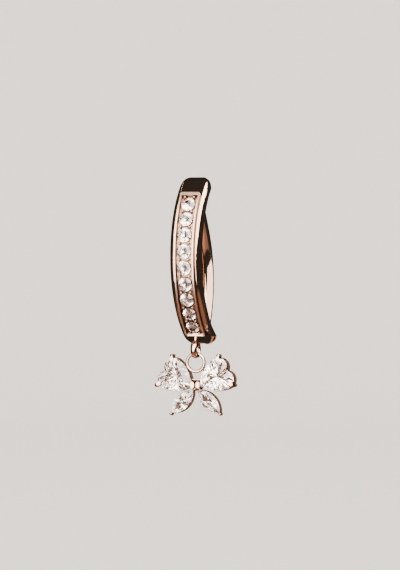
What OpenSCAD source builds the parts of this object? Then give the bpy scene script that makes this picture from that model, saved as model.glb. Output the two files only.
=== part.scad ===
// Hinged belly button ring with a butterfly dangle.
// Front of the ring faces -Y, up is +Z, and the origin is the middle of the bar that goes through the piercing.

/* [Back bar] */
// Thickness of the round bar, 14 gauge
bar_d = 1.6; // [1.5:0.05:1.65]
// Radius of the bar's bend, to the middle of the bar
bar_bend_r = 8.38; // [8.3:0.01:8.45]
// How far the bend runs above and below the middle of the bar, in degrees
bar_bend_deg = 31.5; // [31:0.1:32]

/* [Front band] */
// Outside radius of the band's front face
band_r = 9.04; // [9:0.01:9.1]
// Thickness of the band
band_t = 1.05; // [1:0.01:1.1]
// Width of the band at its middle
band_w = 2.96; // [2.9:0.01:3.05]
// Width of the band at its two ends
band_end_w = 2.62; // [2.6:0.01:2.7]
// Radius of the corners of the bottom end, seen from the front
bottom_corner_r = 0.95; // [0.9:0.01:1]
// Radius of the corners of the top end, seen from the front
top_corner_r = 0.85; // [0.8:0.01:0.9]
// Radius of the rounded edges along both sides of the band
shoulder_r = 0.5; // [0.46:0.01:0.51]
// Centre of the band's curve, behind the middle of the bar
curve_y = 3.06; // [3.03:0.01:3.09]
// Centre of the band's curve, above the middle of the bar
curve_z = 2.3; // [2.25:0.01:2.35]
// Angle from the foremost point up to the top end's round
band_top_deg = 51.6; // [50:0.1:53]
// Angle from the foremost point down to the hinge pin
band_bottom_deg = 61.5; // [61:0.1:62]

/* [Channel plate] */
// Width of the raised plate that holds the row of stones
plate_w = 1.85; // [1.8:0.01:1.9]
// Height of the plate above the band's face
plate_raise = 0.3; // [0.26:0.01:0.34]
// Thickness of the plate's two side rails
rail_t = 0.15; // [0.12:0.01:0.17]
// Angle from the foremost point up to the plate's top end
plate_top_deg = 38.8; // [38.2:0.1:39.2]
// Angle from the foremost point down to the plate's bottom end
plate_bottom_deg = 51.4; // [51:0.1:52]
// Width of the plate's top rim
top_rim = 0.36; // [0.3:0.01:0.38]
// Width of the plate's bottom rim
bottom_rim = 0.27; // [0.22:0.01:0.3]

/* [Row of stones] */
// Diameter of the round stones
round_d = 1.3; // [1.22:0.01:1.32]
// Angle of the top stone, above the foremost point
first_stone_deg = 30.6; // [30.2:0.1:31]
// Angle from one stone to the next
stone_step_deg = 9.35; // [9.3:0.01:9.4]
// Diameter of the bead prongs between the stones
bead_d = 0.24; // [0.18:0.01:0.26]

/* [Fixed loop] */
// Outside diameter of the loop under the band
loop_d = 1.66; // [1.6:0.01:1.72]
// Width of the loop's strip
loop_w = 0.5; // [0.44:0.01:0.56]
// Thickness of the loop's strip
loop_t = 0.28; // [0.24:0.01:0.32]

/* [Butterfly] */
// Diameter of the charm's hanging ring, to the middle of its wire
ring_d = 1.64; // [1.6:0.01:1.68]
// Thickness of the hanging ring's wire
ring_wire = 0.26; // [0.24:0.01:0.3]
// Length of a heart from its middle to its point
heart_point = 1.72; // [1.66:0.01:1.76]
// Radius of a heart's two lobes
heart_lobe_r = 0.87; // [0.84:0.01:0.9]
// How far the wings' hearts slope down to the body, in degrees
heart_slope = 29; // [27:0.5:30]
// Half length of a marquise stone
marquise_half_l = 1.45; // [1.4:0.01:1.5]
// Half width of a marquise stone
marquise_half_w = 0.68; // [0.64:0.01:0.72]
// How far the marquises slope down from level, in degrees
marquise_slope = 46; // [44:0.5:48]
// Thickness of the heads of the hearts' claws
claw_d = 0.38; // [0.36:0.01:0.4]

/* [Hidden] */
stone_count = 9;
stone_names = [for (i = [1:stone_count]) str("stone_", i)];
wing_stones = ["heart_left", "heart_right", "marquise_left", "marquise_right"];

// Finish colours
rose = [0.80, 0.56, 0.46];
clear = [0.93, 0.94, 0.96];

// Smoothness of large and small round shapes
fine = 160;
small = 48;

// Clearances
seat_gap = 0.03;
pin_gap = 0.03;
press_gap = 0.01;
side_gap = 0.07;
face_gap = 0.08;

// Band
band_inner_r = band_r - band_t;
band_mid_r = band_r - band_t / 2;
shoulder_in = shoulder_r * 0.985;
taper_from = 2.6;
end_back_y = -2.28;
end_r = band_t / 2;

// Hinge and catch
pin_d = 0.5;
knuckle_r = 0.47;
tongue_w = 0.7;
slot_w = tongue_w + 2 * side_gap;
pin_y = curve_y - band_mid_r * cos(band_bottom_deg);
pin_z = curve_z - band_mid_r * sin(band_bottom_deg);
pin_l = band_end_w - 0.64;
leg_l = 5;
tab_l = 0.8;
tab_h = 0.8;
tab_reach = 0.42;

// Channel and stones of the row
plate_r = band_r + plate_raise;
floor_r = band_r + 0.03;
girdle_r = band_r + 0.17;
plate_corner = 0.16;
rim_lip = 0.04;
rim_slope_l = 0.31;
round_crown = 0.19;
round_depth = 0.56;
bead_x = 0.43;
bead_top_r = girdle_r + 0.06;

// Fixed loop and the charm's swing
loop_y = -2.72;
loop_z = -6.145;
loop_inner_r = loop_d / 2 - loop_t;
loop_crown_r = 0.4;
hang_gap = 0.02;
ring_z = loop_z - loop_inner_r + hang_gap - (ring_d - ring_wire) / 2;

// Butterfly
wing_y = -2.74;
heart_x = -1.92;
heart_z = -8.66;
heart_lobe_u = -0.62;
heart_lobe_v = 0.65;
heart_side_r = 2.95;
heart_crown = 0.36;
heart_depth = 1.35;
marquise_x = -1.27;
marquise_z = -10.92;
marquise_crown = 0.26;
marquise_depth = 0.6;
girdle_t = 0.06;
claw_neck = 0.03;
claw_flat = 0.42;
body_claw_flat = 0.28;
wall_t = 0.14;
wall_out = 0.02;
heart_wall_top = -0.2;
heart_wall_low = -0.85;
claw_low = -0.55;
marquise_wall_top = -0.18;
marquise_wall_low = -0.7;
hub_z = -9.45;
hub_r = 0.5;
hub_h = 0.3;
hub_cone = 0.28;

// Draws children in the side view, with x as Y and y as Z, centred across the ring.
module side_view() {
    rotate([90, 0, 90])
        children();
}

// A plate drawn in the side view, w wide across the ring.
module across(w) {
    side_view()
        translate([0, 0, -w / 2])
            linear_extrude(w)
                children();
}

// Sweeps a profile of radius by width along the band, between two angles from the foremost point.
module along_band(from_deg, to_deg) {
    side_view()
        translate([curve_y, curve_z, 0])
            rotate([0, 0, 180 + from_deg])
                rotate_extrude(angle = to_deg - from_deg, $fn = fine)
                    children();
}

// Places children on the band at an angle and a radius, facing outwards along their own z.
module on_band(deg, r) {
    translate([0, curve_y - r * cos(deg), curve_z - r * sin(deg)])
        rotate([90 + deg, 0, 0])
            children();
}

// A round rod with rounded ends between two points.
module rod(from, to, r) {
    d = to - from;
    l = norm(d);
    translate(from) {
        sphere(r, $fn = small);
        rotate([0, acos(d[2] / l), atan2(d[1], d[0])])
            cylinder(h = l, r = r, $fn = small);
    }
    translate(to)
        sphere(r, $fn = small);
}

// Corner of a profile beyond a point: what is left of a square outside the shoulder's circle.
module shoulder_cut(out, side) {
    difference() {
        translate([out > 0 ? 0 : -1, side > 0 ? 0 : -1])
            square([1, 1]);
        circle(shoulder_r, $fn = small);
    }
}

// A strip of the band's width whose outer edge, at x = outer, has two rounded shoulders.
module shouldered(inner, outer) {
    difference() {
        translate([inner, -band_w / 2])
            square([outer - inner, band_w]);
        for (side = [-1, 1])
            translate([outer - shoulder_in, side * (band_w / 2 - shoulder_in)])
                shoulder_cut(1, side);
    }
}

// The band's own section, with its inner edges rounded as well.
module band_section() {
    difference() {
        shouldered(band_inner_r, band_r);
        for (side = [-1, 1])
            translate([band_inner_r + shoulder_in, side * (band_w / 2 - shoulder_in)])
                shoulder_cut(-1, side);
    }
}

// Rounds the two corners of an end that looks up its own y; edge is the end's distance from the axes.
module end_corners(edge, r) {
    in = r * 0.98;
    for (side = [-1, 1])
        translate([side * (band_end_w / 2 - in), edge - in, -2 * band_t])
            difference() {
                translate([side > 0 ? 0 : -1, 0, 0])
                    cube([1, 1, 4 * band_t]);
                translate([0, 0, -1])
                    cylinder(h = 4 * band_t + 2, r = r, $fn = small);
            }
}

// Wedges that narrow the band towards one end; way is 1 upwards and -1 downwards.
module side_wedge(way) {
    reach = band_r * 0.8;
    slope = atan((band_w - band_end_w) / 2 / (reach - taper_from));
    for (side = [0, 1])
        mirror([side, 0, 0])
            translate([band_w / 2, 0, curve_z + way * taper_from])
                rotate([0, -way * slope, 0])
                    translate([0, -band_r, way > 0 ? -1 : -band_r])
                        cube([1, 2 * band_r, band_r + 1]);
}

// Round end of the band: the same shoulders, turned about an axis across the ring.
module band_end(deg) {
    side_view()
        translate([curve_y - band_mid_r * cos(deg), curve_z - band_mid_r * sin(deg), 0])
            rotate_extrude($fn = small)
                shouldered(0, end_r);
}

module band_body() {
    difference() {
        union() {
            along_band(-band_top_deg, band_bottom_deg)
                band_section();
            band_end(-band_top_deg);
            band_end(band_bottom_deg);
        }
        side_wedge(1);
        side_wedge(-1);
        translate([0, curve_y - band_mid_r * cos(band_top_deg), curve_z + band_mid_r * sin(band_top_deg)])
            rotate([90, 0, 0])
                end_corners(end_r, top_corner_r);
        translate([0, pin_y, pin_z])
            rotate([-90, 0, 0])
                end_corners(end_r, bottom_corner_r);
        translate([-band_w, end_back_y, curve_z + 0.6 * band_r])
            cube([2 * band_w, band_r, band_r]);
    }
}

// Raised plate, swept over its own angles, with its four corners cut.
module plate_block() {
    difference() {
        along_band(-plate_top_deg, plate_bottom_deg)
            translate([band_r - 0.1, -plate_w / 2])
                square([plate_raise + 0.1, plate_w]);
        for (deg = [-plate_top_deg, plate_bottom_deg])
            for (side = [-1, 1])
                on_band(deg, band_r - 0.3)
                    translate([side * plate_w / 2, 0, 0])
                        rotate(45)
                            translate([-plate_corner / 2, -plate_corner / 2, 0])
                                cube([plate_corner, plate_corner, 1]);
    }
}

// Open channel between the rails and the two rims.
module channel() {
    top_deg = top_rim / plate_r * 180 / PI;
    bottom_deg = bottom_rim / plate_r * 180 / PI;
    along_band(-plate_top_deg + top_deg, plate_bottom_deg - bottom_deg)
        translate([floor_r, -plate_w / 2 + rail_t])
            square([1, plate_w - 2 * rail_t]);
}

// Slope on the inside of the plate's bottom rim, which catches the light.
module rim_slope() {
    bottom_deg = bottom_rim / plate_r * 180 / PI;
    far = rim_lip - rim_slope_l;
    up = rim_lip + rim_slope_l;
    on_band(plate_bottom_deg - bottom_deg, floor_r)
        rotate([90, 0, 90])
            translate([0, 0, rail_t - plate_w / 2])
                linear_extrude(plate_w - 2 * rail_t)
                    polygon([[rim_lip, rim_lip], [far, up], [rim_lip, up]]);
}

// Seat of one round stone: a drilled cup with a cone that follows the stone's underside.
module round_seat() {
    r = round_d / 2 + seat_gap;
    rotate_extrude($fn = small)
        polygon([
            [0, -round_depth - 2 * seat_gap],
            [r, -2 * seat_gap],
            [r, 1],
            [0, 1]
        ]);
}

function stone_deg(i) = -first_stone_deg + (i - 1) * stone_step_deg;

// One bead prong, raised from the channel floor beside two stones.
module bead() {
    stem = bead_top_r - floor_r + 0.1;
    translate([0, 0, -stem])
        cylinder(h = stem, r = bead_d * 0.42, $fn = small);
    sphere(bead_d / 2, $fn = small);
}

module beads() {
    for (i = [0:stone_count])
        for (side = [-1, 1])
            on_band(stone_deg(i + 0.5), bead_top_r)
                translate([side * bead_x, 0, 0])
                    bead();
}

// Lens-shaped strip of the fixed loop, thick in the middle and cut off at its sides.
module loop_section() {
    intersection() {
        translate([loop_inner_r + loop_crown_r, 0])
            circle(loop_crown_r, $fn = fine);
        translate([loop_d / 2 - loop_crown_r, 0])
            circle(loop_crown_r, $fn = fine);
        translate([0, -loop_w / 2])
            square([loop_d, loop_w]);
    }
}

// Fixed loop with the solder neck that joins it to the underside of the band.
module fixed_loop() {
    side_view()
        translate([loop_y, loop_z, 0])
            rotate_extrude($fn = fine)
                loop_section();
    rod([0, loop_y - 0.1, loop_z + loop_d / 2 - 0.1], [0, loop_y + 0.1, loop_z + loop_d / 2 + 0.55], 0.17);
}

// Slot between the two hinge ears, open towards the inside and the end of the band.
module hinge_slot() {
    across(slot_w)
        translate([pin_y, pin_z]) {
            circle(knuckle_r + face_gap, $fn = small);
            rotate(band_bottom_deg - 90)
                translate([-0.76, 0])
                    square([2.2, 1.6]);
            translate([0, -0.6])
                square([1, 1.2]);
        }
}

// Box drawn along the way the bar's tip leaves the band when the ring opens.
module catch_box(l, h, back) {
    tip = bar_top_point(leg_l_used());
    swing = atan2(tip[1] - pin_z, tip[0] - pin_y) - 90;
    translate(tip)
        rotate(swing)
            translate([-tab_reach - (l - tab_l) / 2, -h / 2])
                square([l + back, h]);
}

function bar_top_start() = [bar_bend_r * (cos(bar_bend_deg) - 1), bar_bend_r * sin(bar_bend_deg)];
function bar_top_point(s) = bar_top_start() + s * [-sin(bar_bend_deg), cos(bar_bend_deg)];

// Length of the straight leg up to the band's inner face, from the distance to the centre of the band's curve.
function leg_l_used() =
    let (
        p = bar_top_start() - [curve_y, curve_z],
        d = [-sin(bar_bend_deg), cos(bar_bend_deg)],
        b = p * d,
        c = p * p - band_inner_r * band_inner_r
    )
    -b + sqrt(b * b - c);

module front_band() {
    color(rose)
        difference() {
            union() {
                band_body();
                difference() {
                    plate_block();
                    channel();
                    rim_slope();
                }
                beads();
                fixed_loop();
            }
            for (i = [1:stone_count])
                on_band(stone_deg(i), girdle_r)
                    round_seat();
            hinge_slot();
            across(slot_w)
                catch_box(tab_l + 2 * face_gap, tab_h + 2 * face_gap, 1.5);
            side_view()
                translate([pin_y, pin_z, -band_w])
                    cylinder(h = 2 * band_w, r = pin_d / 2 + press_gap, $fn = small);
        }
}

// Bar: bent about its middle, straight at the top, both ends cut to follow the band and its hinge ears.
module bar_body() {
    difference() {
        bar_in_band();
        side_view()
            translate([pin_y, pin_z, -band_w])
                cylinder(h = 2 * band_w, r = end_r + face_gap, $fn = small);
    }
}

module bar_in_band() {
    intersection() {
        union() {
            side_view()
                translate([-bar_bend_r, 0, 0])
                    rotate([0, 0, bar_bend_deg]) {
                        rotate_extrude(angle = -2 * bar_bend_deg - 8, $fn = fine)
                            translate([bar_bend_r, 0])
                                circle(bar_d / 2, $fn = small);
                        translate([bar_bend_r, 0, 0])
                            rotate([-90, 0, 0])
                                cylinder(h = leg_l, r = bar_d / 2, $fn = small);
                    }
        }
        side_view()
            translate([curve_y, curve_z, -bar_d])
                cylinder(h = 2 * bar_d, r = band_inner_r - face_gap, $fn = fine);
    }
}

// Flat tongue at the foot of the bar, round about the hinge pin.
module hinge_tongue() {
    foot = [bar_bend_r * (cos(bar_bend_deg - 8) - 1), -bar_bend_r * sin(bar_bend_deg - 8)];
    pin = [pin_y, pin_z];
    d = (pin - foot) / norm(pin - foot);
    n = [-d[1], d[0]];
    across(tongue_w) {
        translate(pin)
            circle(knuckle_r, $fn = small);
        polygon([foot + 0.6 * n, foot - 0.6 * n, pin - knuckle_r * n, pin + knuckle_r * n]);
    }
}

module back_bar() {
    color(rose)
        difference() {
            union() {
                bar_body();
                hinge_tongue();
                across(tongue_w)
                    catch_box(tab_l, tab_h, 0);
            }
            side_view()
                translate([pin_y, pin_z, -band_w])
                    cylinder(h = 2 * band_w, r = pin_d / 2 + pin_gap, $fn = small);
        }
}

module hinge_pin() {
    color(rose)
        side_view()
            translate([pin_y, pin_z, -pin_l / 2])
                cylinder(h = pin_l, r = pin_d / 2, $fn = small);
}

// Cut stone with a flat table, star, kite and girdle facets above, and two rings of facets below.
// outline holds an even number of points; every second one is the foot of a main facet.
module cut_stone(outline, table, crown, depth) {
    count = len(outline);
    mains = count / 2;
    mid_scale = (1 + table) / 2 + 0.06;
    mid_z = crown * 0.62;
    low_scale = 0.42;
    low_z = -depth * 0.62;
    half_t = girdle_t / 2;
    top = [for (j = [0:mains - 1]) let (p = outline[2 * j] * table) [p[0], p[1], crown]];
    kite = [for (j = [0:mains - 1]) let (p = outline[2 * j + 1] * mid_scale) [p[0], p[1], mid_z]];
    upper = [for (p = outline) [p[0], p[1], half_t]];
    lower = [for (p = outline) [p[0], p[1], -half_t]];
    under = [for (j = [0:mains - 1]) let (p = outline[2 * j + 1] * low_scale) [p[0], p[1], low_z]];
    points = concat(top, kite, upper, lower, under, [[0, 0, -depth]]);
    k = mains;
    u = 2 * mains;
    l = u + count;
    b = l + count;
    culet = b + mains;
    faces = concat(
        [[for (j = [0:mains - 1]) mains - 1 - j]],
        [for (j = [0:mains - 1]) [j, (j + 1) % mains, k + j]],
        [for (j = [0:mains - 1]) [j, k + j, u + 2 * j]],
        [for (j = [0:mains - 1]) [(j + 1) % mains, u + (2 * j + 2) % count, k + j]],
        [for (j = [0:mains - 1]) [k + j, u + 2 * j + 1, u + 2 * j]],
        [for (j = [0:mains - 1]) [k + j, u + (2 * j + 2) % count, u + 2 * j + 1]],
        [for (i = [0:count - 1]) [u + i, u + (i + 1) % count, l + (i + 1) % count, l + i]],
        [for (j = [0:mains - 1]) [b + j, l + 2 * j, l + 2 * j + 1]],
        [for (j = [0:mains - 1]) [b + j, l + 2 * j + 1, l + (2 * j + 2) % count]],
        [for (j = [0:mains - 1]) [culet, l + 2 * j, b + j]],
        [for (j = [0:mains - 1]) [culet, b + j, l + (2 * j + 2) % count]]
    );
    polyhedron(points, faces);
}

function round_outline(r, count) = [for (i = [0:count - 1]) r * [cos(i * 360 / count), sin(i * 360 / count)]];

module round_stone(i) {
    color(clear)
        on_band(stone_deg(i), girdle_r)
            cut_stone(round_outline(round_d / 2, 16), 0.56, round_crown, round_depth);
}

// Heart outline: two lobe arcs joined to the point by two wider arcs that touch them.
// x runs to the point; the wide arcs' centres follow from the lobes, the point and the wide radius.
function heart_side_centre() =
    let (
        lobe = [heart_lobe_u, heart_lobe_v],
        span = [heart_point, 0] - lobe,
        d = norm(span),
        e = span / d,
        n = [e[1], -e[0]],
        near = heart_side_r - heart_lobe_r,
        x = (near * near - heart_side_r * heart_side_r + d * d) / (2 * d)
    )
    lobe + x * e + sqrt(near * near - x * x) * n;

// Direction from the wide arc's centre through the lobe's centre, where the two arcs touch.
function heart_touch_deg() =
    let (c = heart_side_centre())
    atan2(heart_lobe_v - c[1], heart_lobe_u - c[0]);

// Half of the heart's edge: side_steps along the wide arc from the point, then lobe_steps round the lobe.
function heart_edge(side_steps, lobe_steps) =
    let (
        c = heart_side_centre(),
        point_deg = atan2(-c[1], heart_point - c[0]),
        touch = heart_touch_deg(),
        last_deg = 180 + asin(heart_lobe_v / heart_lobe_r)
    )
    concat(
        [for (i = [0:side_steps - 1])
            let (a = point_deg + (touch - point_deg) * i / side_steps)
            c + heart_side_r * [cos(a), sin(a)]],
        [for (i = [0:lobe_steps])
            let (a = touch + (last_deg - touch) * i / lobe_steps)
            [heart_lobe_u, heart_lobe_v] + heart_lobe_r * [cos(a), sin(a)]]
    );

function heart_outline(side_steps, lobe_steps) =
    let (
        half = heart_edge(side_steps, lobe_steps),
        last = side_steps + lobe_steps
    )
    concat(half, [for (i = [last - 1:-1:1]) [half[i][0], -half[i][1]]]);

// Marquise outline: two equal arcs that meet in two points on the x axis.
function marquise_r() =
    (marquise_half_l * marquise_half_l + marquise_half_w * marquise_half_w) / (2 * marquise_half_w);

function marquise_outline(steps) =
    let (
        r = marquise_r(),
        half_deg = asin(marquise_half_l / r),
        upper = [for (i = [0:steps])
            let (a = 90 - half_deg + 2 * half_deg * i / steps)
            [r * cos(a), r * sin(a) - (r - marquise_half_w)]]
    )
    concat(upper, [for (i = [steps - 1:-1:1]) [upper[i][0], -upper[i][1]]]);

// Places children on the butterfly's girdle plane: x stays X, y is up, z points to the front.
module on_wing() {
    translate([0, wing_y, 0])
        rotate([90, 0, 0])
            children();
}

// Left heart's place: its point looks towards the body and slopes down.
module at_heart() {
    translate([heart_x, heart_z, 0])
        rotate(-heart_slope)
            children();
}

// Left marquise's place: x runs to the outer tip, down and to the left.
module at_marquise() {
    translate([marquise_x, marquise_z, 0])
        rotate(180 + marquise_slope)
            children();
}

// Outline of a heart, grown or shrunk by an even amount, from true arcs.
module heart_plan(grow) {
    c = heart_side_centre();
    touch = heart_touch_deg();
    cut_u = heart_lobe_u + (heart_lobe_r + grow) * cos(touch);
    for (side = [-1, 1])
        translate([heart_lobe_u, side * heart_lobe_v])
            circle(heart_lobe_r + grow, $fn = fine);
    intersection() {
        for_both_sides(c, heart_side_r + grow);
        translate([cut_u, -3])
            square([4, 6]);
    }
}

// The area that two equal circles share, one on each side of the x axis.
module for_both_sides(c, r) {
    intersection() {
        translate(c)
            circle(r, $fn = fine);
        translate([c[0], -c[1]])
            circle(r, $fn = fine);
    }
}

module marquise_plan(grow) {
    for_both_sides([0, marquise_r() - marquise_half_w], marquise_r() + grow);
}

// Files the front of a claw flat at a height above the girdle.
module filed(height) {
    difference() {
        children();
        translate([-2, -2, height])
            cube([6, 4, 1]);
    }
}

// Claw outside a stone's edge at x = edge: a stem up the side and a head bent over the crown.
module claw(edge, low, over) {
    r = claw_d / 2;
    stem = r - claw_neck;
    foot = edge + stem + 0.01;
    rod([foot, 0, low + stem], [foot, 0, 0.12], stem);
    filed(claw_flat)
        rod([foot, 0, 0.16], [edge - over, 0, 0.36], r);
}

module heart_setting() {
    difference() {
        translate([0, 0, heart_wall_low])
            linear_extrude(heart_wall_top - heart_wall_low)
                heart_plan(wall_out);
        translate([0, 0, heart_wall_low - 1])
            linear_extrude(3)
                heart_plan(wall_out - wall_t);
    }
    for (side = [-1, 1])
        translate([heart_lobe_u, side * heart_lobe_v, 0])
            rotate(side * 123)
                claw(heart_lobe_r, claw_low, 0.14);
}

module marquise_setting() {
    difference() {
        translate([0, 0, marquise_wall_low])
            linear_extrude(marquise_wall_top - marquise_wall_low)
                marquise_plan(wall_out);
        translate([0, 0, marquise_wall_low - 1])
            linear_extrude(3)
                marquise_plan(wall_out - wall_t);
    }
    translate([marquise_half_l - 0.02, 0, 0])
        rod([0.13, 0, claw_low + 0.13], [0.13, 0, 0.06], 0.13);
}

// Two claws between the wings that hold the hearts' points, and the hub behind them.
module body_claws() {
    for (side = [-1, 1]) {
        rod([side * 0.24, hub_z + 0.05, heart_wall_low + 0.3], [side * 0.24, hub_z + 0.05, 0.1], 0.13);
        translate([side * 0.26, hub_z, 0])
            filed(body_claw_flat)
                rod([0, 0.16, 0.2], [0, -0.06, 0.2], 0.2);
    }
    translate([0, hub_z, heart_wall_low])
        cylinder(h = hub_h, r = hub_r, $fn = small);
    translate([0, hub_z, heart_wall_low + hub_h])
        cylinder(h = hub_cone, r1 = hub_r, r2 = hub_r - hub_cone, $fn = small);
    rod([-0.6, hub_z + 0.54, -0.35], [0.6, hub_z + 0.54, -0.35], 0.09);
    for (side = [-1, 1])
        rod([0, hub_z - 0.1, -0.5], [side * 0.42, hub_z - 0.5, -0.5], 0.14);
}

module hanging_ring() {
    translate([0, loop_y, ring_z])
        rotate([90, 0, 0])
            rotate_extrude($fn = fine)
                translate([ring_d / 2, 0])
                    circle(ring_wire / 2, $fn = small);
}

module charm_frame() {
    color(rose) {
        hanging_ring();
        on_wing() {
            for (side = [0, 1])
                mirror([side, 0, 0]) {
                    at_heart()
                        heart_setting();
                    at_marquise()
                        marquise_setting();
                    rod([-0.66, ring_z - 0.52, -0.2], [-0.84, ring_z - 0.72, -0.32], 0.16);
                }
            body_claws();
        }
    }
}

module heart_stone() {
    cut_stone(heart_outline(5, 7), 0.55, heart_crown, heart_depth);
}

module marquise_stone() {
    cut_stone(marquise_outline(10), 0.55, marquise_crown, marquise_depth);
}

module wing_stone(side) {
    color(clear)
        on_wing()
            mirror([side, 0, 0])
                children();
}

front_band();
for (i = [1:stone_count]) {
    round_stone(i);
}
back_bar();
hinge_pin();
charm_frame();
wing_stone(0) at_heart() heart_stone();  // heart_left
wing_stone(1) at_heart() heart_stone();  // heart_right
wing_stone(0) at_marquise() marquise_stone();  // marquise_left
wing_stone(1) at_marquise() marquise_stone();  // marquise_right
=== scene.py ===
"""Looks, studio and camera of a hinged belly button ring with a butterfly dangle.

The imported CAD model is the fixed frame. Its nodes keep their shapes and get their real finishes here.
Lengths are in metres unless a name ends in _mm, and angles are in degrees.
"""

import logging
import math
from dataclasses import dataclass
from enum import Enum

import bpy
from mathutils import Matrix, Vector

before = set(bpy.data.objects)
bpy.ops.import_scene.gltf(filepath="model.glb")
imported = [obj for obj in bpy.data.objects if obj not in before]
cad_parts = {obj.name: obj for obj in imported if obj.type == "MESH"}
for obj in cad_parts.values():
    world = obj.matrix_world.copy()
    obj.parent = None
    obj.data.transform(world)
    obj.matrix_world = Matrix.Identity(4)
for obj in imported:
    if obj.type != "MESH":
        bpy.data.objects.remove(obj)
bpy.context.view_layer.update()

LOG = logging.getLogger("belly_ring")
MM = 0.001
QUARTER_TURN = 90.0

BAND_NODE = "front_band"
BAR_NODE = "back_bar"
PIN_NODE = "hinge_pin"
CHARM_NODE = "charm_frame"
METAL_NODES = (BAND_NODE, BAR_NODE, PIN_NODE, CHARM_NODE)
ROW_COUNT = 9
ROW_NODES = tuple(f"stone_{number + 1}" for number in range(ROW_COUNT))
WING_NODES = ("heart_left", "heart_right", "marquise_left", "marquise_right")
STONE_NODES = ROW_NODES + WING_NODES

# Socket numbers of the mix node, whose sockets share their names between values and colours.
MIX_SHARE, MIX_VALUE_A, MIX_VALUE_B, MIX_COLOUR_A, MIX_COLOUR_B = 0, 2, 3, 6, 7
MIX_VALUE_OUT, MIX_COLOUR_OUT = 0, 2

Tree = bpy.types.NodeTree
Socket = bpy.types.NodeSocket
Setting = float | int | str | bool | tuple[float, ...] | Enum
Key = str | int


class Operation(Enum):
    """Steps of arithmetic that the math nodes do."""

    SUBTRACT = "SUBTRACT"
    MULTIPLY = "MULTIPLY"
    LENGTH = "LENGTH"
    MAXIMUM = "MAXIMUM"
    GREATER = "GREATER_THAN"


def linear(hex_colour: str) -> tuple[float, float, float, float]:
    """Turns an sRGB hex colour into linear RGBA.

    Args:
        hex_colour: six hex digits with a leading hash sign.

    Returns:
        Red, green and blue as linear light from 0 to 1, and an alpha of 1.
    """
    knee, toe_slope, offset, gamma, top = 0.04045, 12.92, 0.055, 2.4, 255
    parts = []
    for byte in bytes.fromhex(hex_colour.lstrip("#")):
        value = byte / top
        parts.append(value / toe_slope if value <= knee else ((value + offset) / (1 + offset)) ** gamma)
    return (parts[0], parts[1], parts[2], 1.0)


def direction(azimuth: float, elevation: float) -> Vector:
    """Points from the ring towards a place in the studio.

    Args:
        azimuth: degrees from straight in front, towards the ring's right side in the picture.
        elevation: degrees above the horizon.

    Returns:
        A unit vector.
    """
    a, e = math.radians(azimuth), math.radians(elevation)
    return Vector((math.sin(a) * math.cos(e), -math.cos(a) * math.cos(e), math.sin(e)))


def add_node(
    tree: Tree,
    kind: str,
    settings: dict[Key, Setting] | None = None,
    links: dict[Key, Socket] | None = None,
) -> bpy.types.Node:
    """Adds a node to a tree with its settings and links.

    Args:
        tree: the material's or world's node tree.
        kind: the node's Blender type.
        settings: values by property name, or by the name or number of an input.
        links: output sockets of other nodes, by the name or number of the input they go to.

    Returns:
        The new node.
    """
    node = tree.nodes.new(kind)
    for key, value in (settings or {}).items():
        if isinstance(key, str) and hasattr(node, key):
            setattr(node, key, value.value if isinstance(value, Enum) else value)
        else:
            node.inputs[key].default_value = value
    for key, socket in (links or {}).items():
        tree.links.new(socket, node.inputs[key])
    return node


def new_material(name: str) -> tuple[bpy.types.Material, Tree]:
    """Makes an empty node material.

    Args:
        name: the real material's name.

    Returns:
        The material and its node tree.
    """
    material = bpy.data.materials.new(name)
    material.use_nodes = True
    material.node_tree.nodes.clear()
    return material, material.node_tree


@dataclass(frozen=True)
class Mottle:
    """Uneven patches of about one real size, with this many finer layers in them."""

    size_mm: float
    layers: float

    def settings(self) -> dict[Key, Setting]:
        """Gives the patches' size and fineness, as a noise node takes them."""
        return {"Scale": 1 / (self.size_mm * MM), "Detail": self.layers}


@dataclass(frozen=True)
class Haze:
    """Polish that is a little duller in patches, from one value of the patches to another."""

    clear: float
    dull: float
    patches: Mottle
    starts: float
    full: float

    def roughness(self, tree: Tree, place: Socket) -> Socket:
        """Draws the haze over a surface.

        Args:
            tree: the material's node tree.
            place: object coordinates.

        Returns:
            The roughness's output.
        """
        patches = add_node(tree, "ShaderNodeTexNoise", self.patches.settings(), {"Vector": place})
        settings = {
            "From Min": self.starts, "From Max": self.full, "To Min": self.clear, "To Max": self.dull,
        }
        return add_node(tree, "ShaderNodeMapRange", settings, {"Value": patches.outputs[0]}).outputs[0]


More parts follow.
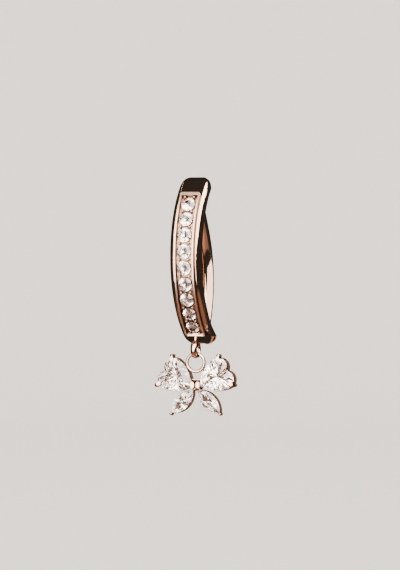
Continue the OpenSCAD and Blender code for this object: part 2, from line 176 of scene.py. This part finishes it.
@dataclass(frozen=True)
class ChannelZone:
    """Milled channel plate on the band, left satin where the wheel doesn't reach between the stones.

    It is found by its distance from the axis of the band's curve, which runs across the ring. The mill's
    grain shows on the channel's floor alone.
    """

    axis_y_mm: float = 3.06
    axis_z_mm: float = 2.3
    inner_mm: float = 9.045
    grain_outer_mm: float = 9.2
    outer_mm: float = 9.5
    edge_mm: float = 0.01
    roughness: float = 0.3
    grain: Mottle = Mottle(size_mm=0.16, layers=2.0)
    grain_strength: float = 1.0
    grain_depth_mm: float = 0.035

    def reach(self, tree: Tree, place: Socket) -> Socket:
        """Measures the distance from the axis of the band's curve.

        Args:
            tree: the material's node tree.
            place: object coordinates.

        Returns:
            The distance's output, in metres.
        """
        axis = (0.0, self.axis_y_mm * MM, self.axis_z_mm * MM)
        without_x = (0.0, 1.0, 1.0)
        settings = {"operation": Operation.SUBTRACT, 1: axis}
        moved = add_node(tree, "ShaderNodeVectorMath", settings, {0: place})
        settings = {"operation": Operation.MULTIPLY, 1: without_x}
        flat = add_node(tree, "ShaderNodeVectorMath", settings, {0: moved.outputs[0]})
        settings = {"operation": Operation.LENGTH}
        return add_node(tree, "ShaderNodeVectorMath", settings, {0: flat.outputs[0]}).outputs["Value"]

    def mask(self, tree: Tree, place: Socket, outer_mm: float) -> Socket:
        """Finds the plate in a material.

        Args:
            tree: the material's node tree.
            place: object coordinates.
            outer_mm: where the zone ends, from the axis of the band's curve.

        Returns:
            An output that is 1 in the zone and 0 elsewhere.
        """
        reach = self.reach(tree, place)
        sides = []
        for border_mm, before, beyond in ((self.inner_mm, 0.0, 1.0), (outer_mm, 1.0, 0.0)):
            settings = {
                "From Min": border_mm * MM, "From Max": (border_mm + self.edge_mm) * MM,
                "To Min": before, "To Max": beyond,
            }
            sides.append(add_node(tree, "ShaderNodeMapRange", settings, {"Value": reach}).outputs[0])
        settings = {"operation": Operation.MULTIPLY}
        return add_node(tree, "ShaderNodeMath", settings, dict(enumerate(sides))).outputs[0]

    def dull(self, tree: Tree, place: Socket, roughness: Socket) -> Socket:
        """Makes the plate satin.

        Args:
            tree: the material's node tree.
            place: object coordinates.
            roughness: the roughness of the metal elsewhere.

        Returns:
            The roughness of the whole.
        """
        links = {MIX_SHARE: self.mask(tree, place, self.outer_mm), MIX_VALUE_A: roughness}
        return add_node(tree, "ShaderNodeMix", {MIX_VALUE_B: self.roughness}, links).outputs[MIX_VALUE_OUT]

    def roughen(self, tree: Tree, place: Socket, normal: Socket) -> Socket:
        """Adds the mill's grain to the channel's floor.

        Args:
            tree: the material's node tree.
            place: object coordinates.
            normal: the surface's direction before it.

        Returns:
            The surface's direction with the grain.
        """
        # The mill's own grain is some 0.03 mm wide; it is drawn coarser, so that it shows.
        grained = self.mask(tree, place, self.grain_outer_mm)
        grain = add_node(tree, "ShaderNodeTexNoise", self.grain.settings(), {"Vector": place})
        links = {0: grained, 1: grain.outputs[0]}
        height = add_node(tree, "ShaderNodeMath", {"operation": Operation.MULTIPLY}, links)
        settings = {"Strength": self.grain_strength, "Distance": self.grain_depth_mm * MM}
        links = {"Height": height.outputs[0], "Normal": normal}
        return add_node(tree, "ShaderNodeBump", settings, links).outputs[0]


@dataclass(frozen=True)
class PolishedMetal:
    """Steel with a thin, warm, metallic coating, polished to a mirror.

    A hard vacuum coating takes the polish of the steel below it, so the eye gets mirror reflections in a
    light pinkish tone, faint wheel marks and a duller finish where the wheel can't reach. The colour is
    painted darker and browner in recesses and beside other parts, as painted shade.
    """

    name: str = "rose_gold_pvd_on_polished_316L_steel"
    metallic: float = 1.0
    bright: str = "#EDD8CA"
    warm: str = "#E2C3B1"
    tone: Mottle = Mottle(size_mm=1.6, layers=3.0)
    painted_shade_colour: str = "#7E675B"
    painted_shade_full_below: float = 0.55
    painted_shade_none_above: float = 0.93
    painted_shade_reach_mm: float = 0.26
    painted_shade_samples: int = 8
    haze: Haze = Haze(clear=0.035, dull=0.10, patches=Mottle(size_mm=0.45, layers=4.0), starts=0.3, full=0.7)
    edge_radius_mm: float = 0.035
    edge_samples: int = 4
    marks: Mottle = Mottle(size_mm=0.14, layers=2.0)
    mark_stretch: float = 9.0
    mark_depth_mm: float = 0.0012
    mark_strength: float = 0.10
    channel: ChannelZone | None = None

    def colour(self, tree: Tree, place: Socket) -> Socket:
        """Blends the coating's tones and paints shade, darker and browner, into the recesses and beside other
        parts.

        Args:
            tree: the material's node tree.
            place: object coordinates.

        Returns:
            The colour's output.
        """
        tone = add_node(tree, "ShaderNodeTexNoise", self.tone.settings(), {"Vector": place})
        settings = {
            "data_type": "RGBA", MIX_COLOUR_A: linear(self.bright), MIX_COLOUR_B: linear(self.warm),
        }
        coating = add_node(tree, "ShaderNodeMix", settings, {MIX_SHARE: tone.outputs[0]})
        # Painted shade: an ambient-occlusion test mixes a dark brown into the colour in recesses and next to
        # other parts. The share named polished below is the part left unshaded.
        settings = {"samples": self.painted_shade_samples, "Distance": self.painted_shade_reach_mm * MM}
        reach = add_node(tree, "ShaderNodeAmbientOcclusion", settings)
        settings = {"From Min": self.painted_shade_full_below, "From Max": self.painted_shade_none_above}
        polished = add_node(tree, "ShaderNodeMapRange", settings, {"Value": reach.outputs["AO"]})
        settings = {"data_type": "RGBA", MIX_COLOUR_A: linear(self.painted_shade_colour)}
        links = {MIX_SHARE: polished.outputs[0], MIX_COLOUR_B: coating.outputs[MIX_COLOUR_OUT]}
        return add_node(tree, "ShaderNodeMix", settings, links).outputs[MIX_COLOUR_OUT]

    def roughness(self, tree: Tree, place: Socket) -> Socket:
        """Gives the polish, and the satin of the channel where there is one."""
        polish = self.haze.roughness(tree, place)
        return self.channel.dull(tree, place, polish) if self.channel else polish

    def relief(self, tree: Tree, place: Socket) -> Socket:
        """Rounds the edges and draws the channel's grain and the wheel marks.

        Args:
            tree: the material's node tree.
            place: object coordinates.

        Returns:
            The surface's direction.
        """
        settings = {"samples": self.edge_samples, "Radius": self.edge_radius_mm * MM}
        normal = add_node(tree, "ShaderNodeBevel", settings).outputs[0]
        if self.channel:
            normal = self.channel.roughen(tree, place, normal)
        # Wheel marks are some 0.02 mm apart on the real ring; they are drawn coarser, so that they show.
        along = 1.0 / self.mark_stretch
        stretched = add_node(tree, "ShaderNodeMapping", {"Scale": (1.0, along, along)}, {"Vector": place})
        links = {"Vector": stretched.outputs[0]}
        marks = add_node(tree, "ShaderNodeTexNoise", self.marks.settings(), links)
        settings = {"Strength": self.mark_strength, "Distance": self.mark_depth_mm * MM}
        links = {"Height": marks.outputs[0], "Normal": normal}
        return add_node(tree, "ShaderNodeBump", settings, links).outputs[0]

    def material(self) -> bpy.types.Material:
        """Builds the node material.

        Returns:
            The finished material.
        """
        material, tree = new_material(self.name)
        place = add_node(tree, "ShaderNodeTexCoord").outputs["Object"]
        links = {
            "Base Color": self.colour(tree, place),
            "Roughness": self.roughness(tree, place),
            "Normal": self.relief(tree, place),
        }
        shader = add_node(tree, "ShaderNodeBsdfPrincipled", {"Metallic": self.metallic}, links)
        add_node(tree, "ShaderNodeOutputMaterial", links={"Surface": shader.outputs[0]})
        return material


@dataclass(frozen=True)
class CutStone:
    """Clear cubic zirconia, machine cut and polished.

    Its high index turns light back out of the crown, so the eye gets bright white facets beside grey ones and
    hints of the metal's colour from the setting. Cheap stones have slightly hazy facets.
    """

    name: str = "clear_cubic_zirconia"
    body: str = "#FCEEE6"
    transmission: float = 1.0
    ior: float = 2.16
    haze: Haze = Haze(clear=0.03, dull=0.08, patches=Mottle(size_mm=0.5, layers=3.0), starts=0.35, full=0.65)

    def material(self) -> bpy.types.Material:
        """Builds the node material.

        Returns:
            The finished material.
        """
        material, tree = new_material(self.name)
        place = add_node(tree, "ShaderNodeTexCoord").outputs["Object"]
        settings = {
            "Base Color": linear(self.body), "Transmission Weight": self.transmission, "IOR": self.ior,
        }
        links = {"Roughness": self.haze.roughness(tree, place)}
        shader = add_node(tree, "ShaderNodeBsdfPrincipled", settings, links)
        add_node(tree, "ShaderNodeOutputMaterial", links={"Surface": shader.outputs[0]})
        return material


@dataclass(frozen=True)
class StudioPaper:
    """Pale, matt background paper, which shows an even tone with a very fine fibre grain."""

    name: str = "pale_matt_background_paper"
    light: str = "#E9E6E3"
    shade: str = "#E2DEDA"
    fibre: Mottle = Mottle(size_mm=0.8, layers=4.0)
    roughness: float = 0.95

    def material(self) -> bpy.types.Material:
        """Builds the node material.

        Returns:
            The finished material.
        """
        material, tree = new_material(self.name)
        place = add_node(tree, "ShaderNodeTexCoord").outputs["Object"]
        fibre = add_node(tree, "ShaderNodeTexNoise", self.fibre.settings(), {"Vector": place})
        settings = {
            "data_type": "RGBA", MIX_COLOUR_A: linear(self.light), MIX_COLOUR_B: linear(self.shade),
        }
        colour = add_node(tree, "ShaderNodeMix", settings, {MIX_SHARE: fibre.outputs[0]})
        links = {"Base Color": colour.outputs[MIX_COLOUR_OUT]}
        shader = add_node(tree, "ShaderNodeBsdfPrincipled", {"Roughness": self.roughness}, links)
        add_node(tree, "ShaderNodeOutputMaterial", links={"Surface": shader.outputs[0]})
        return material


def dress(node: str, material: bpy.types.Material) -> str:
    """Gives a CAD node its finish by its material slots.

    Args:
        node: the CAD node's name.
        material: the finish.

    Returns:
        The piece's name.
    """
    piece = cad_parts[node]
    for slot in piece.material_slots:
        slot.material = material
    return piece.name


@dataclass
class Band:
    """Curved front band with its raised channel plate, bead prongs, hinge ears and fixed loop."""

    node: str = BAND_NODE
    metal: PolishedMetal = PolishedMetal(name="rose_gold_pvd_on_316L_steel_band", channel=ChannelZone())

    def dress(self) -> list[str]:
        """Puts the polished and satin metal on the band, and gives its name."""
        return [dress(self.node, self.metal.material())]


@dataclass
class StoneRow:
    """Nine round stones set down the channel."""

    nodes: tuple[str, ...] = ROW_NODES

    def dress(self, stone: bpy.types.Material) -> list[str]:
        """Puts the shared stone finish on the row, and gives the stones' names."""
        return [dress(node, stone) for node in self.nodes]


@dataclass
class BackBar:
    """Round bar through the piercing, with the pin that hinges it to the band."""

    nodes: tuple[str, ...] = (BAR_NODE, PIN_NODE)

    def dress(self, metal: bpy.types.Material) -> list[str]:
        """Puts the shared metal on the bar and its pin, and gives their names."""
        return [dress(node, metal) for node in self.nodes]


@dataclass
class Butterfly:
    """Charm of four stones in one cast frame that hangs on the fixed loop."""

    frame_node: str = CHARM_NODE
    stones: tuple[str, ...] = WING_NODES

    def dress(self, metal: bpy.types.Material, stone: bpy.types.Material) -> list[str]:
        """Puts the shared finishes on the frame and its stones, and gives their names."""
        return [dress(self.frame_node, metal)] + [dress(node, stone) for node in self.stones]


@dataclass
class Softbox:
    """Rectangular soft light whose face is square to a direction from the ring.

    Azimuth is 0 in front of the ring and grows towards the right of the picture. Lean tips the box's top to
    the right. Shifts move it in its own plane, right and up. It shines on the pieces in only_for alone, or on
    everything where that is empty.
    """

    name: str
    azimuth: float
    elevation: float
    width: float
    height: float
    radiance: float
    lean: float = 0.0
    shift_right: float = 0.0
    shift_up: float = 0.0
    distance: float = 0.40
    tint: str = "#FFFFFF"
    only_for: tuple[str, ...] = ()

    def place(self) -> Matrix:
        """Works out where the light stands and how it is turned.

        Returns:
            The light's matrix.
        """
        towards = direction(self.azimuth, self.elevation)
        right = direction(self.azimuth + QUARTER_TURN, 0.0)
        up = towards.cross(right)
        centre = towards * self.distance + right * self.shift_right + up * self.shift_up
        lean = math.radians(self.lean)
        across = right * math.cos(lean) - up * math.sin(lean)
        along = right * math.sin(lean) + up * math.cos(lean)
        turn = Matrix((across, along, towards)).transposed()
        return Matrix.Translation(centre) @ turn.to_4x4()

    def build(self) -> bpy.types.Object:
        """Makes the light.

        Returns:
            The light's object.
        """
        light = bpy.data.lights.new(self.name, "AREA")
        light.shape = "RECTANGLE"
        light.size, light.size_y = self.width, self.height
        light.energy = math.pi * self.width * self.height * self.radiance
        light.color = linear(self.tint)[:3]
        lamp = bpy.data.objects.new(self.name, light)
        bpy.context.collection.objects.link(lamp)
        lamp.matrix_world = self.place()
        lamp.visible_camera = False
        if self.only_for:
            lit = bpy.data.collections.new(f"{self.name}_lights")
            for node in self.only_for:
                lit.objects.link(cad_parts[node])
            lamp.light_linking.receiver_collection = lit
        return lamp


# The main softbox draws the metal's cream bands. The stones have their own, away from the mirror direction of
# their tables, so that the facets keep their contrast. The cards and the strip give single edges their tone.
SOFTBOXES = (
    Softbox(
        "main_softbox", azimuth=15.0, elevation=30.0, width=0.56, height=1.68, radiance=5.4, lean=33.0,
        shift_right=-0.132, shift_up=-0.056, tint="#FFF3E6", only_for=METAL_NODES,
    ),
    Softbox(
        "stone_softbox", azimuth=45.0, elevation=35.0, width=0.45, height=1.10, radiance=7.0, lean=20.0,
        only_for=STONE_NODES,
    ),
    Softbox(
        "stone_left_softbox", azimuth=-65.0, elevation=30.0, width=0.22, height=0.90, radiance=5.5,
        only_for=STONE_NODES,
    ),
    Softbox(
        "rim_card", azimuth=165.0, elevation=-31.0, width=0.62, height=0.32, radiance=0.7,
        tint="#F2BFA4", only_for=(BAND_NODE,),
    ),
    Softbox(
        "bar_softbox", azimuth=94.0, elevation=21.5, width=1.00, height=0.50, radiance=3.4, lean=-10.0,
        tint="#FFF0E0", only_for=(BAR_NODE,),
    ),
    Softbox(
        "bar_card", azimuth=75.0, elevation=-44.0, width=0.70, height=0.22, radiance=0.5, lean=-20.0,
        tint="#F2BFA4", only_for=(BAR_NODE,),
    ),
    Softbox(
        "charm_card", azimuth=150.0, elevation=0.0, width=0.50, height=0.50, radiance=0.3,
        tint="#F2CBB8", only_for=(CHARM_NODE,),
    ),
    Softbox("left_strip", azimuth=-98.5, elevation=61.6, width=0.16, height=0.025, radiance=5.0),
)


@dataclass(frozen=True)
class Glow:
    """Even light of one tint from a part of the room."""

    tint: str
    strength: float

    def settings(self) -> dict[Key, Setting]:
        """Gives the glow's tint and strength, as a background node takes them."""
        return {"Color": linear(self.tint), "Strength": self.strength}


@dataclass(frozen=True)
class Room:
    """Room round the studio: pale to the camera, and dark above a dim copper-toned table to metal and stones.

    The table shows fully below table_low and in front of table_front, and not above table_high or behind
    table_back. These are heights and depths on a sphere of radius 1 round the ring. Its borders are soft.
    """

    pale: Glow = Glow("#F4F2F0", 2.7)
    dark: Glow = Glow("#E8E0DC", 0.12)
    in_stones: Glow = Glow("#E8CEC2", 0.45)
    table: Glow = Glow("#F2BFA4", 0.6)
    table_low: float = -0.70
    table_high: float = -0.54
    table_front: float = 0.0
    table_back: float = 0.2
    table_border: str = "SMOOTHSTEP"
    fewest_passes: float = 0.5

    def table_share(self, tree: Tree) -> Socket:
        """Finds the table below and in front of the ring.

        Args:
            tree: the world's node tree.

        Returns:
            An output that is 1 on the table and 0 elsewhere.
        """
        way = add_node(tree, "ShaderNodeTexCoord").outputs["Generated"]
        parts = add_node(tree, "ShaderNodeSeparateXYZ", links={0: way}).outputs
        borders = (("Z", self.table_low, self.table_high), ("Y", self.table_front, self.table_back))
        shares = []
        for axis, full, ends in borders:
            settings = {
                "interpolation_type": self.table_border,
                "From Min": full, "From Max": ends, "To Min": 1.0, "To Max": 0.0,
            }
            shares.append(add_node(tree, "ShaderNodeMapRange", settings, {"Value": parts[axis]}).outputs[0])
        settings = {"operation": Operation.MULTIPLY}
        return add_node(tree, "ShaderNodeMath", settings, dict(enumerate(shares))).outputs[0]

    def reflected(self, tree: Tree, path: bpy.types.NodeOutputs) -> Socket:
        """Makes the room as metal and stones see it.

        Args:
            tree: the world's node tree.
            path: outputs that tell how a ray of light has gone.

        Returns:
            The shader's output.
        """
        # Light has passed into a stone once its count of passes is 1 or more.
        settings = {"operation": Operation.GREATER, 1: self.fewest_passes}
        in_stone = add_node(tree, "ShaderNodeMath", settings, {0: path["Transmission Depth"]})
        dark = add_node(tree, "ShaderNodeBackground", self.dark.settings())
        bright = add_node(tree, "ShaderNodeBackground", self.in_stones.settings())
        links = {0: in_stone.outputs[0], 1: dark.outputs[0], 2: bright.outputs[0]}
        walls = add_node(tree, "ShaderNodeMixShader", links=links)
        table = add_node(tree, "ShaderNodeBackground", self.table.settings())
        links = {0: self.table_share(tree), 1: walls.outputs[0], 2: table.outputs[0]}
        return add_node(tree, "ShaderNodeMixShader", links=links).outputs[0]

    def build(self) -> bpy.types.World:
        """Makes the world and puts it in the scene.

        Returns:
            The world.
        """
        world = bpy.data.worlds.new("studio_room")
        world.use_nodes = True
        tree = world.node_tree
        tree.nodes.clear()
        path = add_node(tree, "ShaderNodeLightPath").outputs
        links = {0: path["Is Glossy Ray"], 1: path["Is Transmission Ray"]}
        mirrored = add_node(tree, "ShaderNodeMath", {"operation": Operation.MAXIMUM}, links)
        pale = add_node(tree, "ShaderNodeBackground", self.pale.settings())
        links = {0: mirrored.outputs[0], 1: pale.outputs[0], 2: self.reflected(tree, path)}
        whole = add_node(tree, "ShaderNodeMixShader", links=links)
        add_node(tree, "ShaderNodeOutputWorld", links={"Surface": whole.outputs[0]})
        bpy.context.scene.world = world
        return world


@dataclass(frozen=True)
class PaperBowl:
    """Round sheet of paper below the ring whose edge bends up into a wall. Rings are shares of its radius."""

    paper: StudioPaper = StudioPaper()
    floor_z: float = -0.030
    floor_radius: float = 0.75
    floor_rings: tuple[float, ...] = (0.2, 0.6)
    bend_radius: float = 0.35
    wall_height: float = 1.1
    bend_steps: int = 24
    round_steps: int = 96

    def profile(self) -> list[tuple[float, float]]:
        """Draws the bowl's half section, from its first ring out and up the wall.

        Returns:
            Points of radius and height.
        """
        points = [(self.floor_radius * share, self.floor_z) for share in self.floor_rings]
        for step in range(self.bend_steps + 1):
            turn = math.pi / 2 * step / self.bend_steps
            points.append((
                self.floor_radius + self.bend_radius * math.sin(turn),
                self.floor_z + self.bend_radius * (1 - math.cos(turn)),
            ))
        points.append((self.floor_radius + self.bend_radius, self.floor_z + self.wall_height))
        return points

    def mesh(self) -> bpy.types.Mesh:
        """Turns the half section round the ring's upright axis.

        Returns:
            The bowl's mesh.
        """
        profile = self.profile()
        points, faces = [(0.0, 0.0, self.floor_z)], []
        for radius, height in profile:
            for step in range(self.round_steps):
                turn = 2 * math.pi * step / self.round_steps
                points.append((radius * math.cos(turn), radius * math.sin(turn), height))
        for step in range(self.round_steps):
            after = (step + 1) % self.round_steps
            faces.append((0, 1 + step, 1 + after))
            for ring in range(len(profile) - 1):
                low = 1 + ring * self.round_steps
                high = low + self.round_steps
                faces.append((low + step, high + step, high + after, low + after))
        mesh = bpy.data.meshes.new("studio_floor")
        mesh.from_pydata(points, [], faces)
        mesh.shade_smooth()
        return mesh

    def build(self) -> bpy.types.Object:
        """Makes the bowl, as a backdrop that isn't part of the ring.

        Returns:
            The bowl's object.
        """
        mesh = self.mesh()
        mesh.materials.append(self.paper.material())
        bowl = bpy.data.objects.new("studio_floor", mesh)
        bpy.context.collection.objects.link(bowl)
        # Polished metal shows the dark room beyond the paper, as it does between black flags in a studio.
        bowl.visible_glossy = bowl.visible_transmission = bowl.visible_shadow = False
        return bowl


@dataclass(frozen=True)
class PhotoCamera:
    """Camera at the photograph's angle and framing.

    The centres place the middle of the picture, and view_height is what the picture's height spans there. The
    picture is upright, so Blender takes the sensor's size for its height.
    """

    azimuth: float = 18.5
    distance: float = 0.6
    view_height: float = 0.05182
    centre_right: float = -0.000473
    centre_up: float = -0.000309
    centre_depth: float = 0.003
    sensor_mm: float = 36.0
    near: float = 0.06
    far: float = 6.0

    def build(self) -> bpy.types.Object:
        """Makes the camera.

        Returns:
            The camera's object.
        """
        back = direction(self.azimuth, 0.0)
        right = direction(self.azimuth + QUARTER_TURN, 0.0)
        centre = right * self.centre_right + Vector((0.0, 0.0, self.centre_up)) + back * self.centre_depth
        data = bpy.data.cameras.new("photo_camera")
        data.sensor_width = self.sensor_mm
        data.lens = self.sensor_mm * self.distance / self.view_height
        data.clip_start, data.clip_end = self.near, self.far
        camera = bpy.data.objects.new("photo_camera", data)
        bpy.context.collection.objects.link(camera)
        camera.location = centre + back * self.distance
        camera.rotation_euler = (-back).to_track_quat("-Z", "Y").to_euler()
        bpy.context.scene.camera = camera
        return camera


@dataclass
class Studio:
    """Room, camera, paper and soft lights, with the picture's contrast."""

    room: Room = Room()
    camera: PhotoCamera = PhotoCamera()
    bowl: PaperBowl = PaperBowl()
    softboxes: tuple[Softbox, ...] = SOFTBOXES
    light_bounces: int = 16
    contrast: str = "AgX - High Contrast"
    exposure: float = -0.7

    def deepen_light_paths(self) -> None:
        """Lets light bounce often enough to leave a cut stone, which turns it back from many facets."""
        paths = bpy.context.scene.cycles
        paths.glossy_bounces = paths.transmission_bounces = paths.max_bounces = self.light_bounces

    def set_contrast(self) -> None:
        """Gives the picture the crisp contrast of a jeweller's photograph."""
        view = bpy.context.scene.view_settings
        view.look, view.exposure = self.contrast, self.exposure

    def build(self) -> list[str]:
        """Builds the whole studio.

        Returns:
            Names of what was made.
        """
        made = [self.room.build()]
        self.deepen_light_paths()
        self.set_contrast()
        made += [self.camera.build(), self.bowl.build()]
        made += [softbox.build() for softbox in self.softboxes]
        return [thing.name for thing in made]


def main() -> None:
    """Builds the studio, dresses every piece and reports each one."""
    logging.basicConfig(level=logging.INFO, format="%(name)s: %(message)s")
    LOG.info("studio: %s", ", ".join(Studio().build()))
    metal = PolishedMetal().material()
    stone = CutStone().material()
    LOG.info("band: %s", ", ".join(Band().dress()))
    LOG.info("row: %s", ", ".join(StoneRow().dress(stone)))
    LOG.info("bar: %s", ", ".join(BackBar().dress(metal)))
    LOG.info("charm: %s", ", ".join(Butterfly().dress(metal, stone)))


if __name__ == "__main__":
    main()
